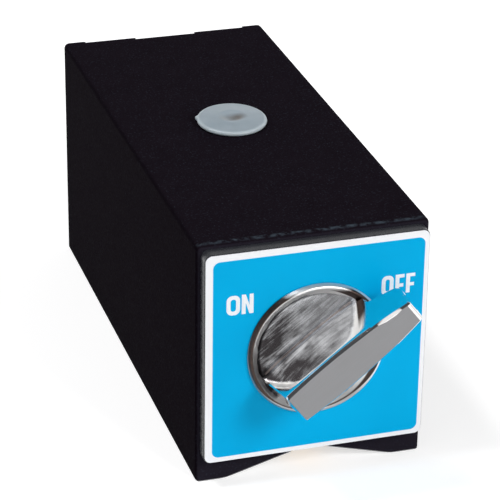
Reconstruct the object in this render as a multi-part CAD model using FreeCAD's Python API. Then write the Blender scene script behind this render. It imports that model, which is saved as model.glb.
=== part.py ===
import FreeCAD, Part
import math
import os

from FreeCAD import Vector

# Switchable magnetic base, in millimetres. X runs across the base, Y from the knob to the rear and Z up.
# The pieces are drawn with the front face of the iron block at Y = 0 and are moved when they are saved,
# so that the origin is under the middle of the whole base.

# The iron block
block_width = 50.0
block_length = 117.0
block_height = 55.0
top_edge_radius = 1.2
end_edge_radius = 1.0
sole_chamfer = 0.5
groove_width = 37.0
groove_slope = 15.5
groove_edge_radius = 12.0
recess_depth = 1.5
lug_width = 4.8
lug_draft = 15.0

# The bore that holds the magnet, and the strips of brass that keep the two poles apart
bore_radius = 14.5
top_strip_width = 15.0
low_strip_width = 8.0

# The tapped hole for the upright rod, with the relief that the plug seats in
rod_hole_radius = 4.2
rod_hole_floor = 1.6
relief_radius = 6.1
relief_depth = 1.8

# The plug
plug_flange_radius = 8.1
plug_rim_thickness = 1.0
plug_rim_bevel = 0.4
plug_crown = 0.5
plug_dimple_radius = 3.0
plug_dimple_depth = 0.8
plug_dimple_lip = 0.3
plug_stem_wall = 1.2
plug_stem_gap = 0.1
plug_floor_gap = 0.3

# The front plate and the printed label on it
plate_side_gap = 0.9
plate_top_gap = 0.9
plate_bottom = 5.9
plate_thickness = 2.8
plate_corner = 1.6
plate_edge_chamfer = 0.15
label_thickness = 0.2
label_margin = 0.05

# The rear plate, which lies between the two lugs
rear_plate_top_gap = 1.0
rear_plate_bottom = 6.0
rear_plate_gap = 0.3
rear_plate_corner = 2.0

# Screws: shank radius, head radius, length, socket across flats and depth
front_screw = (2.0, 3.7, 10.0, 2.5, 1.2)
rear_screw = (1.5, 2.8, 8.0, 2.0, 0.9)
rotor_screw = (1.5, 2.9, 14.0, 2.0, 1.2)
front_screw_inset = 4.6
rear_screw_inset_x = 4.2
rear_screw_inset_z = 6.0
screw_gap = 0.05

# The bearings at the two ends of the bore
bearing_length = 8.0
bearing_flange_radius = 17.0
bearing_flange_thickness = 1.5
bearing_gap = 0.05
running_gap = 0.05
seal_section_radius = 0.9
washer_thickness = 0.5
washer_inner_gap = 0.3
washer_margin = 0.7

# The rotor
rotor_gap = 0.3
end_float = 0.3
cap_thickness = 7.0
magnet_thickness = 10.0
magnet_width = 22.0
magnet_count = 4
glue_line = 0.1
rotor_screw_radius = 9.6
shaft_radius = 6.0
rear_journal_radius = 5.0
cross_pin_radius = 1.5

# The turn from OFF to ON, and the pin and slot that stop it
off_angle = 37.8
sweep = 105.0
stop_pin_radius = 1.25
stop_pin_length = 5.0
stop_pin_reach = 2.2
stop_circle_radius = 11.0
stop_gap = 0.15

# The knob: a dish with a rolled rim, and a blade across it that ends in a wing
knob_radius = 15.1
rim_overhang = 1.4
knob_hole_gap = 0.3
knob_face_gap = 0.15
dish_floor = 3.1
rim_height = 4.2
rim_slope_width = 0.65
rim_crest_width = 0.3
bevel_width = 1.35
blade_top = 16.0
blade_half_width = 4.3
blade_foot_inset = 0.5
blade_side_radius = 143.0
blade_widest = 1.0
tail_slant = 2.4
neck_inset = 0.1
neck_radius = 1.2
wing_root_height = 6.75
wing_end = 19.6
wing_end_height = 7.55
tip = 21.2
tip_height = 9.9
tip_top = 20.9
tip_bevel = 0.8
wing_corner_in = 0.45
wing_corner_up = 0.85
top_edge_chamfer = 0.35
spigot_radius = 2.4
spigot_height = 10.0
shaft_seat = 2.2

# Sizes that follow from those above
front_face_y = -(block_length - blade_top) / 2
body_end = block_length - recess_depth
groove_half = groove_width / 2
groove_rise = math.tan(math.radians(groove_slope))
plate_width = block_width - 2 * plate_side_gap
plate_height = block_height - plate_bottom - plate_top_gap
plate_centre_z = plate_bottom + plate_height / 2
rear_plate_height = block_height - rear_plate_bottom - rear_plate_top_gap
recess_half = block_width / 2 - lug_width - recess_depth * math.tan(math.radians(lug_draft))
rear_plate_half = recess_half - rear_plate_gap
bore_height = plate_centre_z
axis_point = Vector(0, 0, bore_height)
along = Vector(0, 1, 0)
front_cap_start = bearing_length + end_float
core_start = front_cap_start + cap_thickness
rear_bearing_start = body_end - bearing_length
core_end = rear_bearing_start - end_float - cap_thickness
rotor_radius = bore_radius - rotor_gap
rotor_lead = (sweep - 90.0) / 2
rim_under = plate_thickness + label_thickness + knob_face_gap
knob_body_radius = knob_radius - rim_overhang
washer_radius = knob_body_radius - washer_margin
crest_outer = knob_radius - rim_slope_width
crest_inner = crest_outer - rim_crest_width
floor_radius = crest_inner - bevel_width
tail_foot = -floor_radius
tail_top = tail_foot + tail_slant
neck = crest_outer - rim_crest_width / 2 - neck_inset
wing_root = neck + neck_radius
rod_hole_y = block_length / 2


def save(name, shape):
    """Move a piece into the frame of the whole base and write it."""
    placed = shape.copy()
    placed.translate(Vector(0, front_face_y, 0))
    if not placed.isValid():
        raise ValueError(name + " is not a valid solid")
    placed.exportStep("parts/" + name + ".step")


def group(shapes):
    """Like pieces that share one name."""
    return Part.makeCompound(shapes)


def rod(radius, start, end, x=0.0, z=bore_height):
    """A cylinder along Y from start to end."""
    return Part.makeCylinder(radius, end - start, Vector(x, start, z), along)


def ring(outer, inner, start, end):
    """A ring about the knob's axis."""
    return rod(outer, start, end).cut(rod(inner, start - 1, end + 1))


def prism(points, start, end):
    """A closed outline of (x, z) points, carried along Y from start to end."""
    corners = [Vector(x, start, z) for x, z in points]
    face = Part.Face(Part.makePolygon(corners + corners[:1]))
    return face.extrude(Vector(0, end - start, 0))


def round_plate(width, height, centre_z, corner, start, end):
    """A plate across Y with rounded corners."""
    plate = Part.makeBox(width, end - start, height, Vector(-width / 2, start, centre_z - height / 2))
    edges = [e for e in plate.Edges if abs(e.tangentAt(e.FirstParameter).y) > 0.99]
    return plate.makeFillet(corner, edges)


def edges_in_plane(shape, y):
    """The edges that lie in the plane across Y at y."""
    return [e for e in shape.Edges if e.BoundBox.YMin > y - 0.01 and e.BoundBox.YMax < y + 0.01]


def screw_points(half_x, half_z, centre_z):
    """The four corners of a rectangle of screws."""
    return [(x, centre_z + z) for x in (-half_x, half_x) for z in (-half_z, half_z)]


def countersunk_screw(size, x, z, head_y, towards=1):
    """A countersunk screw with its head flush at head_y, going towards +Y or -Y."""
    shank, head, length, flats, socket_depth = size
    direction = Vector(0, towards, 0)
    start = Vector(x, head_y, z)
    cone = Part.makeCone(head, shank, head - shank, start, direction)
    body = Part.makeCylinder(shank, length, start, direction)
    corner = flats / math.sqrt(3)
    angles = [math.radians(60 * i) for i in range(6)]
    far = head_y + towards * socket_depth
    near = head_y - towards
    socket = prism([(x + corner * math.cos(a), z + corner * math.sin(a)) for a in angles], near, far)
    return cone.fuse(body).cut(socket).removeSplitter()


def screw_hole(size, x, z, head_y, depth, towards=1, sunk=True):
    """The hole that a countersunk screw goes in, with the same shape a little larger."""
    shank, head = size[:2]
    direction = Vector(0, towards, 0)
    start = Vector(x, head_y, z)
    hole = Part.makeCylinder(shank + screw_gap, depth, start, direction)
    if sunk:
        hole = hole.fuse(Part.makeCone(head + screw_gap, shank + screw_gap, head - shank, start, direction))
    return hole


def groove_cutter():
    """The middle of the V groove, from below its whole length."""
    depth = groove_half * groove_rise
    return prism([(-groove_half, 0), (0, depth), (groove_half, 0), (groove_half, -1), (-groove_half, -1)],
                 -1, block_length + 1)


def groove_edge_arc():
    """The start, middle and end of the wide arc that blends the sole into the groove, as (x, z) points."""
    slope = math.radians(groove_slope)
    start = -groove_half - groove_edge_radius * math.tan(slope / 2)
    turns = (0, slope / 2, slope)
    return [(start + groove_edge_radius * math.sin(a), groove_edge_radius * (1 - math.cos(a)))
            for a in turns]


def recess_cutter():
    """The shallow recess in the rear face that leaves a lug at each side."""
    outer = block_width / 2 - lug_width
    floor = [Vector(-recess_half, body_end, -1), Vector(recess_half, body_end, -1),
             Vector(outer, block_length, -1), Vector(outer, block_length + 1, -1),
             Vector(-outer, block_length + 1, -1), Vector(-outer, block_length, -1)]
    face = Part.Face(Part.makePolygon(floor + floor[:1]))
    return face.extrude(Vector(0, 0, block_height + 2))


def bearing_seats():
    """The shallow seats for the bearing flanges at both ends of the bore."""
    radius = bearing_flange_radius + bearing_gap
    front = rod(radius, -1, bearing_flange_thickness)
    rear = rod(radius, body_end - bearing_flange_thickness, body_end + 1)
    return front.fuse(rear)


front_screw_points = screw_points(plate_width / 2 - front_screw_inset,
                                  plate_height / 2 - front_screw_inset, plate_centre_z)
rear_plate_centre_z = rear_plate_bottom + rear_plate_height / 2
rear_screw_points = screw_points(rear_plate_half - rear_screw_inset_x,
                                 rear_plate_height / 2 - rear_screw_inset_z, rear_plate_centre_z)


def left_pole():
    """Half of the block: a straight profile with the bore, the groove, the lug and the screw holes."""
    side = -block_width / 2
    top_x = -top_strip_width / 2
    low_x = -low_strip_width / 2
    bore_low = bore_height - math.sqrt(bore_radius ** 2 - low_x ** 2)
    bore_top = bore_height + math.sqrt(bore_radius ** 2 - top_x ** 2)
    blend = top_edge_radius * (1 - math.sqrt(0.5))

    def at(x, z):
        return Vector(x, 0, z)

    blend_start, blend_middle, blend_end = [at(x, z) for x, z in groove_edge_arc()]
    groove_at_low_x = (groove_half + low_x) * groove_rise
    edges = [
        Part.makePolygon([at(side, block_height - top_edge_radius), at(side, sole_chamfer),
                          at(side + sole_chamfer, 0), blend_start]),
        Part.Arc(blend_start, blend_middle, blend_end).toShape(),
        Part.makePolygon([blend_end, at(low_x, groove_at_low_x), at(low_x, bore_low)]),
        Part.Arc(at(low_x, bore_low), at(-bore_radius, bore_height), at(top_x, bore_top)).toShape(),
        Part.makePolygon([at(top_x, bore_top), at(top_x, block_height),
                          at(side + top_edge_radius, block_height)]),
        Part.Arc(at(side + top_edge_radius, block_height), at(side + blend, block_height - blend),
                 at(side, block_height - top_edge_radius)).toShape(),
    ]
    outline = Part.Wire([e for piece in edges for e in piece.Edges])
    pole = Part.Face(outline).extrude(Vector(0, block_length, 0))
    rim = [e for e in edges_in_plane(pole, 0) + edges_in_plane(pole, block_length)
           if e.BoundBox.XMax < side + top_edge_radius + 0.01 and e.BoundBox.ZMin > sole_chamfer - 0.01
           or e.BoundBox.ZMin > block_height - top_edge_radius - 0.01]
    pole = pole.makeFillet(end_edge_radius, rim)
    pole = pole.cut(recess_cutter()).cut(bearing_seats())
    for x, z in front_screw_points:
        if x < 0:
            depth = front_screw[2] - plate_thickness + 1
            pole = pole.cut(screw_hole(front_screw, x, z, 0, depth, sunk=False))
    for x, z in rear_screw_points:
        if x < 0:
            pole = pole.cut(screw_hole(rear_screw, x, z, body_end, rear_screw[2], -1, sunk=False))
    return pole


def strip(width, bottom, top):
    """A brass strip between the poles, cut to the bore and the groove."""
    bar = Part.makeBox(width, body_end, top - bottom, Vector(-width / 2, 0, bottom))
    bar = bar.cut(rod(bore_radius, -1, block_length + 1))
    return bar.cut(groove_cutter()).cut(bearing_seats())


def top_strip():
    """The upper strip, which carries the tapped hole for the upright rod."""
    bar = strip(top_strip_width, bore_height, block_height)
    rim = [e for e in edges_in_plane(bar, 0) if e.BoundBox.ZMin > block_height - 0.01]
    rim += [e for e in edges_in_plane(bar, body_end) if e.BoundBox.ZMin > block_height - 0.01]
    bar = bar.makeFillet(end_edge_radius, rim)
    floor = bore_height + bore_radius + rod_hole_floor
    hole = Part.makeCylinder(rod_hole_radius, block_height - floor + 1, Vector(0, rod_hole_y, floor))
    relief_floor = Vector(0, rod_hole_y, block_height - relief_depth)
    relief = Part.makeCylinder(relief_radius, relief_depth + 1, relief_floor)
    return bar.cut(hole).cut(relief)


def revolve_profile(points, origin, axis):
    """A closed outline turned once about an axis."""
    face = Part.Face(Part.makePolygon(points + points[:1]))
    return face.revolve(origin, axis, 360)


def rod_plug():
    """The push-in plug: a crowned flange with a dimple, and a hollow stem in the relief."""
    stem = relief_radius - plug_stem_gap
    top = block_height + plug_rim_thickness + plug_crown
    low = block_height - relief_depth + plug_floor_gap
    rim_top = block_height + plug_rim_thickness
    outline = [(0, block_height), (stem - plug_stem_wall, block_height), (stem - plug_stem_wall, low),
               (stem, low), (stem, block_height), (plug_flange_radius, block_height),
               (plug_flange_radius, rim_top - plug_rim_bevel),
               (plug_flange_radius - plug_rim_bevel, rim_top),
               (plug_dimple_radius + plug_dimple_lip, top), (plug_dimple_radius, top - plug_dimple_lip),
               (plug_dimple_radius, top - plug_dimple_depth), (0, top - plug_dimple_depth)]
    points = [Vector(r, rod_hole_y, z) for r, z in outline]
    return revolve_profile(points, Vector(0, rod_hole_y, 0), Vector(0, 0, 1))


def front_plate():
    """The plate over the front of the bore, with the round window for the knob."""
    plate = round_plate(plate_width, plate_height, plate_centre_z, plate_corner, -plate_thickness, 0)
    plate = plate.makeChamfer(plate_edge_chamfer, edges_in_plane(plate, -plate_thickness))
    plate = plate.cut(rod(knob_body_radius + knob_hole_gap, -plate_thickness - 1, 1))
    for x, z in front_screw_points:
        plate = plate.cut(screw_hole(front_screw, x, z, -plate_thickness, plate_thickness + 1))
    return plate


def label():
    """The printed sheet on the front plate."""
    front = -plate_thickness - label_thickness
    inset = plate_edge_chamfer + label_margin
    sheet = round_plate(plate_width - 2 * inset, plate_height - 2 * inset, plate_centre_z,
                        plate_corner - inset, front, -plate_thickness)
    return sheet.cut(rod(knob_body_radius + knob_hole_gap, front - 1, 1))


def rear_plate():
    """The thin plate over the rear bearing, sunk between the lugs."""
    plate = round_plate(2 * rear_plate_half, rear_plate_height, rear_plate_centre_z, rear_plate_corner,
                        body_end, block_length)
    for x, z in rear_screw_points:
        plate = plate.cut(screw_hole(rear_screw, x, z, block_length, recess_depth + 1, -1))
    return plate


def front_bearing():
    """The bronze bearing of the knob shaft, with a groove for the seal and a hole for the stop pin."""
    flange = rod(bearing_flange_radius, 0, bearing_flange_thickness)
    body = rod(bore_radius - bearing_gap, 0, bearing_length)
    seal_seat = rod(shaft_radius + running_gap + 2 * seal_section_radius + bearing_gap, -1,
                    2 * seal_section_radius + bearing_gap)
    bearing = flange.fuse(body).cut(rod(shaft_radius + running_gap, -1, bearing_length + 1)).cut(seal_seat)
    x, z = stop_pin_place()
    start = bearing_length + stop_pin_reach - stop_pin_length
    return bearing.cut(rod(stop_pin_radius, start, bearing_length + 1, x, z))


def rear_bearing():
    """The bronze bearing of the rotor's rear journal."""
    flange = rod(bearing_flange_radius, body_end - bearing_flange_thickness, body_end)
    body = rod(bore_radius - bearing_gap, rear_bearing_start, body_end)
    hole = rod(rear_journal_radius + running_gap, rear_bearing_start - 1, body_end + 1)
    return flange.fuse(body).cut(hole)


def shaft_seal():
    """The rubber ring round the knob shaft."""
    middle = shaft_radius + running_gap + seal_section_radius
    return Part.makeTorus(middle, seal_section_radius, Vector(0, seal_section_radius, bore_height), along)


def stop_pin_place():
    """The stop pin's x and z, at the top end of its slot when the knob is at OFF."""
    angle = math.radians(sweep / 2)
    return stop_circle_radius * math.cos(angle), bore_height + stop_circle_radius * math.sin(angle)


def stop_pin():
    """The steel pin in the front bearing that runs in the rotor's slot."""
    x, z = stop_pin_place()
    end = bearing_length + stop_pin_reach
    return rod(stop_pin_radius, end - stop_pin_length, end, x, z)


def turned(shape, angle):
    """Turn a shape about the knob's axis, from +X towards +Z."""
    result = shape.copy()
    result.rotate(axis_point, along, -angle)
    return result


def stop_slot():
    """The curved slot that lets the rotor turn through its sweep round the stop pin."""
    half = stop_pin_radius + stop_gap
    depth = stop_pin_reach - end_float + stop_gap
    corner = Vector(stop_circle_radius - half, front_cap_start - 1, bore_height)
    face = Part.makePlane(2 * half, depth + 1, corner, Vector(0, 0, 1))
    curve = face.revolve(axis_point, along, -sweep)
    end = rod(half, front_cap_start - 1, front_cap_start + depth, stop_circle_radius, bore_height)
    slot = curve.fuse(end).fuse(turned(end, sweep))
    return turned(slot, -sweep / 2)


def rotor_screw_points():
    """One screw in each iron shoe of the rotor."""
    return [(0, bore_height + rotor_screw_radius), (0, bore_height - rotor_screw_radius)]


def front_cap():
    """The rotor's front end cap, pinned to the knob shaft."""
    cap = rod(rotor_radius, front_cap_start, core_start)
    cap = cap.cut(rod(shaft_radius + bearing_gap, front_cap_start - 1, core_start + 1))
    for x, z in rotor_screw_points():
        cap = cap.cut(screw_hole(rotor_screw, x, z, front_cap_start, cap_thickness + 1))
    cap = cap.cut(cross_pin(screw_gap))
    return turned(cap, -rotor_lead).cut(stop_slot())


def rear_cap():
    """The rotor's rear end cap, with the rear journal on it."""
    end = rear_bearing_start - end_float
    cap = rod(rotor_radius, core_end, end).fuse(rod(rear_journal_radius, core_end, body_end - end_float))
    for x, z in rotor_screw_points():
        cap = cap.cut(screw_hole(rotor_screw, x, z, end, cap_thickness + 1, -1))
    return turned(cap.removeSplitter(), -rotor_lead)


def cross_pin(gap=0.0):
    """The pin across the front cap and the knob shaft, before the rotor's lead is turned in."""
    y = core_start - cap_thickness / 3
    reach = math.sqrt(rotor_radius ** 2 - cross_pin_radius ** 2) - bearing_gap
    start = Vector(-reach - gap, y, bore_height)
    return Part.makeCylinder(cross_pin_radius + gap, 2 * (reach + gap), start, Vector(1, 0, 0))


def slab(width, thickness):
    """A flat block through the rotor's core."""
    return Part.makeBox(width, core_end - core_start, thickness,
                        Vector(-width / 2, core_start, bore_height - thickness / 2))


def shoe(upper):
    """One of the rotor's two iron shoes, which the magnets lie between."""
    core = rod(rotor_radius, core_start, core_end)
    low = bore_height + magnet_thickness / 2 if upper else bore_height - 2 * rotor_radius
    high = bore_height + 2 * rotor_radius if upper else bore_height - magnet_thickness / 2
    half = Part.makeBox(4 * rotor_radius, block_length, high - low, Vector(-2 * rotor_radius, 0, low))
    result = core.common(half)
    depth = rotor_screw[2] - cap_thickness + 1
    for x, z in rotor_screw_points():
        result = result.cut(screw_hole(rotor_screw, x, z, core_start, depth, sunk=False))
        result = result.cut(screw_hole(rotor_screw, x, z, core_end, depth, -1, sunk=False))
    return turned(result, -rotor_lead)


def magnets():
    """The row of flat magnets in the rotor, with a glue line between neighbours."""
    pitch = (core_end - core_start + glue_line) / magnet_count
    blocks = []
    for i in range(magnet_count):
        corner = Vector(-magnet_width / 2, core_start + i * pitch, bore_height - magnet_thickness / 2)
        block = Part.makeBox(magnet_width, pitch - glue_line, magnet_thickness, corner)
        blocks.append(turned(block, -rotor_lead))
    return group(blocks)


def fillers():
    """The brass strips that fill the rotor beside its magnets."""
    core = rod(rotor_radius, core_start, core_end).common(slab(4 * rotor_radius, magnet_thickness))
    sides = core.cut(slab(magnet_width + 2 * glue_line, magnet_thickness))
    return turned(group(sides.Solids), -rotor_lead)


def rotor_screws(front):
    """The screws that hold an end cap on the shoes."""
    y = front_cap_start if front else rear_bearing_start - end_float
    way = 1 if front else -1
    screws = [countersunk_screw(rotor_screw, x, z, y, way) for x, z in rotor_screw_points()]
    return turned(group(screws), -rotor_lead)


def knob_shaft():
    """The steel shaft cast into the knob, with a thinner spigot up inside the blade."""
    shaft = rod(shaft_radius, -shaft_seat, core_start)
    shaft = shaft.cut(turned(cross_pin(screw_gap), -rotor_lead))
    return shaft.fuse(rod(spigot_radius, -spigot_height, -shaft_seat)).removeSplitter()


def knob_frame(shape):
    """Stand a knob shape, drawn along X with its height along Z, on the front of the base at OFF."""
    result = shape.copy()
    result.rotate(Vector(0, 0, 0), Vector(1, 0, 0), 90)
    result.translate(axis_point)
    return turned(result, off_angle)


def blade_outline(height, half_width):
    """The blade seen from the front: two long arcs, with square ends."""
    middle = half_width - blade_side_radius
    ends = (tail_foot - 1, tip + 1)

    def edge(s):
        return middle + math.sqrt(blade_side_radius ** 2 - (s - blade_widest) ** 2)

    corners = [Vector(s, side * edge(s), height) for side, s in
               ((1, ends[0]), (1, ends[1]), (-1, ends[1]), (-1, ends[0]))]
    upper = Part.Arc(corners[0], Vector(blade_widest, half_width, height), corners[1]).toShape()
    lower = Part.Arc(corners[2], Vector(blade_widest, -half_width, height), corners[3]).toShape()
    tip_end = Part.makeLine(corners[1], corners[2])
    tail_end = Part.makeLine(corners[3], corners[0])
    return Part.Wire([upper, tip_end, lower, tail_end])


def blade():
    """The grip across the knob: its front outline and its side outline, cut from each other."""
    foot = blade_outline(dish_floor - 1, blade_half_width - blade_foot_inset)
    crown = blade_outline(blade_top + 1, blade_half_width)
    body = Part.makeLoft([foot, crown], True, True)
    reach = 2 * blade_half_width

    def at(s, t):
        return Vector(s, -reach, t)

    low = dish_floor - 0.5
    wing_slope = (wing_end_height - wing_root_height) / (wing_end - wing_root)
    lines = [
        Part.makePolygon([at(neck, wing_root_height - neck_radius), at(neck, rim_under),
                          at(floor_radius, rim_under), at(floor_radius, low), at(tail_foot, low),
                          at(tail_foot, dish_floor), at(tail_top, blade_top),
                          at(tip_top - tip_bevel, blade_top), at(tip_top, blade_top - tip_bevel),
                          at(tip, tip_height)]),
        Part.Arc(at(tip, tip_height), at(tip - wing_corner_in, wing_end_height + wing_corner_up),
                 at(wing_end, wing_end_height)).toShape(),
        Part.makeLine(at(wing_end, wing_end_height), at(wing_root, wing_root_height)),
        Part.Arc(at(wing_root, wing_root_height),
                 at(neck + 0.3 * neck_radius, wing_root_height - (0.3 + wing_slope) * neck_radius),
                 at(neck, wing_root_height - neck_radius)).toShape(),
    ]
    outline = Part.Wire([e for piece in lines for e in piece.Edges])
    side = Part.Face(outline).extrude(Vector(0, 2 * reach, 0))
    grip = body.common(side)
    crown_edges = [e for e in grip.Edges
                   if e.BoundBox.ZMin > blade_top - 0.01 and e.BoundBox.XLength > blade_half_width * 4]
    return grip.makeChamfer(top_edge_chamfer, crown_edges)


def knob():
    """The die-cast knob: dish, rolled rim and blade in one piece, hollow where the shaft is cast in."""
    back = washer_thickness
    crest_low = rim_height - rim_crest_width / 2

    def at(r, t):
        return Vector(r, 0, t)

    rim = [
        Part.makePolygon([at(crest_inner, crest_low), at(floor_radius, dish_floor), at(0, dish_floor),
                          at(0, back), at(knob_body_radius, back), at(knob_body_radius, rim_under),
                          at(knob_radius, rim_under), at(crest_outer, crest_low)]),
        Part.Arc(at(crest_outer, crest_low), at((crest_outer + crest_inner) / 2, rim_height),
                 at(crest_inner, crest_low)).toShape(),
    ]
    outline = Part.Wire([e for piece in rim for e in piece.Edges])
    dish = Part.Face(outline).revolve(Vector(0, 0, 0), Vector(0, 0, 1), 360)
    casting = dish.fuse(blade())
    seat = Part.makeCylinder(shaft_radius, shaft_seat)
    spigot = Part.makeCylinder(spigot_radius, spigot_height)
    return knob_frame(casting.cut(seat.fuse(spigot)).removeSplitter())


os.makedirs("parts", exist_ok=True)

half = left_pole()
save("pole_left", half)
save("pole_right", half.mirror(Vector(0, 0, 0), Vector(1, 0, 0)))
save("top_strip", top_strip())
save("low_strip", strip(low_strip_width, 0, bore_height))
save("front_plate", front_plate())
save("label", label())
save("front_plate_screws", group([countersunk_screw(front_screw, x, z, -plate_thickness)
                                  for x, z in front_screw_points]))
save("front_bearing", front_bearing())
save("shaft_seal", shaft_seal())
save("thrust_washer", ring(washer_radius, shaft_radius + washer_inner_gap, -washer_thickness, 0))
save("stop_pin", stop_pin())
save("rear_bearing", rear_bearing())
save("rear_plate", rear_plate())
save("rear_plate_screws", group([countersunk_screw(rear_screw, x, z, block_length, -1)
                                 for x, z in rear_screw_points]))
save("rod_plug", rod_plug())
save("knob", knob())
save("knob_shaft", knob_shaft())
save("cross_pin", turned(cross_pin(), -rotor_lead))
save("rotor_front_cap", front_cap())
save("rotor_shoe_upper", shoe(True))
save("rotor_shoe_lower", shoe(False))
save("rotor_magnets", magnets())
save("rotor_fillers", fillers())
save("rotor_rear_cap", rear_cap())
save("rotor_front_screws", rotor_screws(True))
save("rotor_rear_screws", rotor_screws(False))
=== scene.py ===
import math

import bmesh
import bpy
import numpy as np
from mathutils import Matrix, Vector


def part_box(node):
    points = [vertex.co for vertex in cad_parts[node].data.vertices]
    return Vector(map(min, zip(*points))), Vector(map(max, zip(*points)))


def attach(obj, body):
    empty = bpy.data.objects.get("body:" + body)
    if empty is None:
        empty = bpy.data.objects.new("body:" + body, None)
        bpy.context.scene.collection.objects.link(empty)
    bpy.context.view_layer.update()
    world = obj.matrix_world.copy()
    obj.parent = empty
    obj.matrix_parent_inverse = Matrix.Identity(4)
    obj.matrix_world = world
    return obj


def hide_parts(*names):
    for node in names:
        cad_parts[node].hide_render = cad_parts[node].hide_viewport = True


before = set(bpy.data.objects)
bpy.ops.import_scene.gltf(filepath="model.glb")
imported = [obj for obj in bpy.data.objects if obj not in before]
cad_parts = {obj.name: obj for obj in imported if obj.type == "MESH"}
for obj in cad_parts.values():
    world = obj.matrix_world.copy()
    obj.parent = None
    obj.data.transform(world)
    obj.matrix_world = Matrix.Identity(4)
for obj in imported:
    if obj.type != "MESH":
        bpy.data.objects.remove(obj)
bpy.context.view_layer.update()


# The two iron poles and the strip between them on top. They are soft iron and brass, painted together after
# assembly with a fine wrinkled black enamel, and then the sole and the groove are ground bare.
MM = 0.001
pole_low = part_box("pole_left")[0]
front_y = pole_low.y
side_x = -pole_low.x
block_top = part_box("top_strip")[1].z
axis_z = 30 * MM
WRINKLE = 0.35
CLOUDING = 6.0
SPECK = 0.45
HIGHLIGHT_BREAK_SIZE = 1.3
SCRATCH = 0.25
ALONG_Y = (1, 60, 1)
GROOVE_HALF = 18.5 * MM
GROOVE_SLOPE = math.tan(math.radians(15.5))

# Each range is where a mask begins and where it is full. NOISE is where most of a noise's values lie.
NOISE = {"From Min": 0.3, "From Max": 0.7}
SHADED_SIDE = {"From Min": side_x - 0.6 * MM, "From Max": side_x - 0.1 * MM}
LIT_FRONT = {"From Min": 0.3 * MM, "From Max": 0.1 * MM}
ON_TOP = {"From Min": block_top - 0.5 * MM, "From Max": block_top - 0.1 * MM}
GLINTS = {"From Min": 0.60, "From Max": 0.72}
HIGHLIGHT_BREAKS = {"From Min": 0.40, "From Max": 0.62}
EDGE_HIGHLIGHT_LINE = 1.15 * MM
EDGE_HIGHLIGHT_BAND = {"From Min": 0.75 * MM, "From Max": 0.25 * MM}
BARE = {"From Min": 0.20 * MM, "From Max": 0.16 * MM}


def linear(code):
    """An sRGB hex colour as linear red, green, blue and alpha: the sRGB curve, undone for each channel."""
    channels = [int(code[i:i + 2], 16) / 255 for i in (0, 2, 4)]
    return [c / 12.92 if c < 0.04045 else ((c + 0.055) / 1.055) ** 2.4 for c in channels] + [1.0]


def add(tree, kind, sockets=None, **settings):
    """Add a shader node with its settings. A socket is named, or numbered where names repeat. It gets a
    value, a link from another socket, or a link from the first open output of another node."""
    made = tree.nodes.new("ShaderNode" + kind)
    for name, value in settings.items():
        setattr(made, name, value)
    for name, value in (sockets or {}).items():
        open_ones = [socket for socket in made.inputs if socket.enabled and socket.name == name]
        socket = open_ones[0] if open_ones else made.inputs[name]
        if isinstance(value, bpy.types.Node):
            value = next(output for output in value.outputs if output.enabled)
        if isinstance(value, bpy.types.NodeSocket):
            tree.links.new(value, socket)
        else:
            socket.default_value = value
    return made


def start_material(name):
    """An empty material, its nodes, and the place on the piece, in metres, that its patterns follow."""
    material = bpy.data.materials.new(name)
    material.use_nodes = True
    tree = material.node_tree
    tree.nodes.clear()
    return material, tree, add(tree, "TexCoord").outputs["Object"]


def grain(tree, place, size_mm, detail=2.0, stretch=(1, 1, 1)):
    """Noise whose features are about size_mm wide, and wider along the axes that stretch names."""
    mapped = add(tree, "Mapping", {"Vector": place, "Scale": [1 / s for s in stretch]})
    return add(tree, "TexNoise", {"Vector": mapped, "Scale": 1 / (size_mm * MM), "Detail": detail})


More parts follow.
